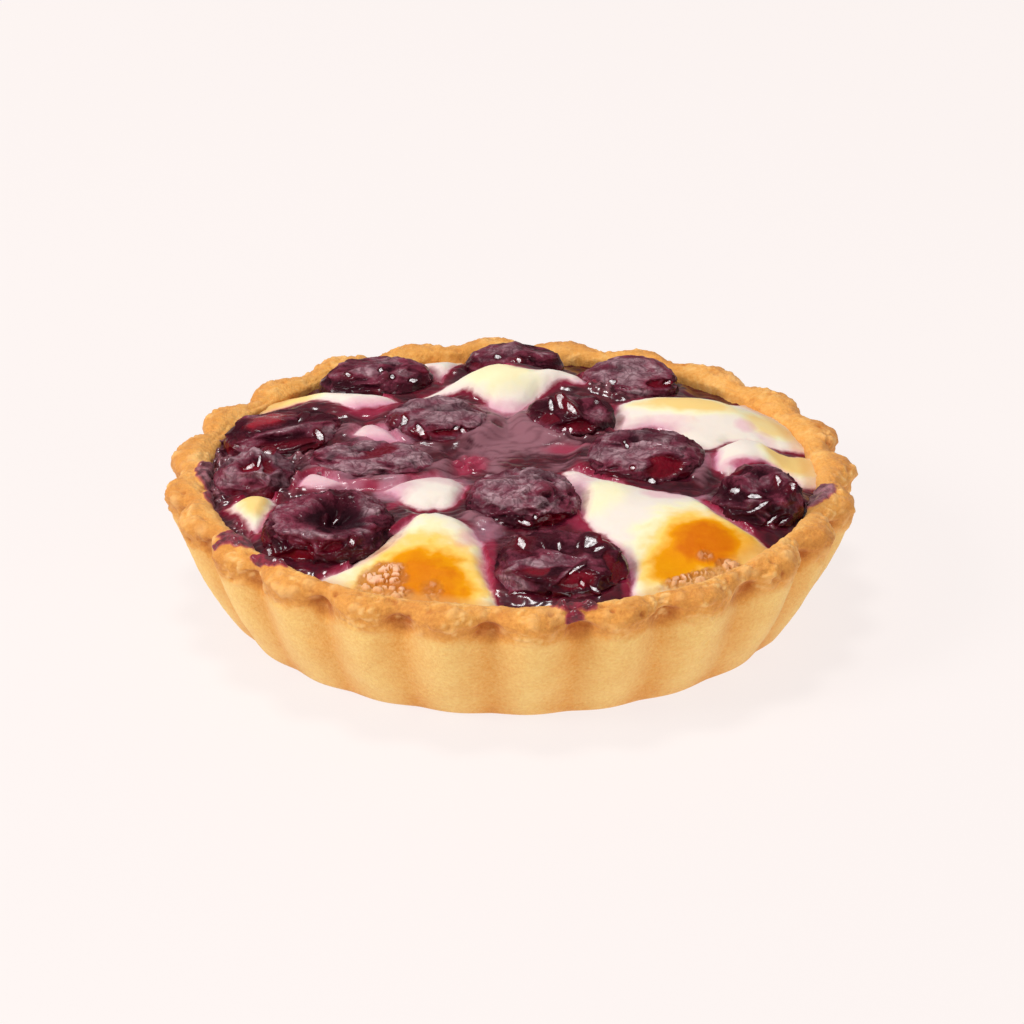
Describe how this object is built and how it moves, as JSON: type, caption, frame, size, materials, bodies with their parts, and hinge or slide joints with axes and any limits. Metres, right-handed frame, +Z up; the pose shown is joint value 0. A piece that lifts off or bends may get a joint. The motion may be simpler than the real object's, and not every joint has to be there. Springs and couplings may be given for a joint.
{
  "type": "sour cherry tartlet",
  "caption": "Small fluted shortcrust tart with a domed egg custard filling and whole stoned sour cherries sunk in its top.",
  "frame": {"origin": "middle of the flat base, on the surface it stands on", "axes": "+Z up; -Y is the front; +X is to the right seen from the front"},
  "size_m": [0.0998, 0.1002, 0.0243],
  "materials": {
    "crust": "matte",
    "custard": "satin",
    "cherry": "glossy"
  },
  "bodies": {
    "root": {"crust": "crust", "custard": "custard", "cherry_front_left": "cherry", "cherry_front_centre": "cherry", "cherry_centre": "cherry", "cherry_right": "cherry", "cherry_mid_right": "cherry", "cherry_upper_mid_right": "cherry", "cherry_upper_mid_left": "cherry", "cherry_left_mid": "cherry", "cherry_left_upper": "cherry", "cherry_left": "cherry", "cherry_back_left": "cherry", "cherry_back_centre": "cherry", "cherry_back_right": "cherry"}
  },
  "joints": []
}
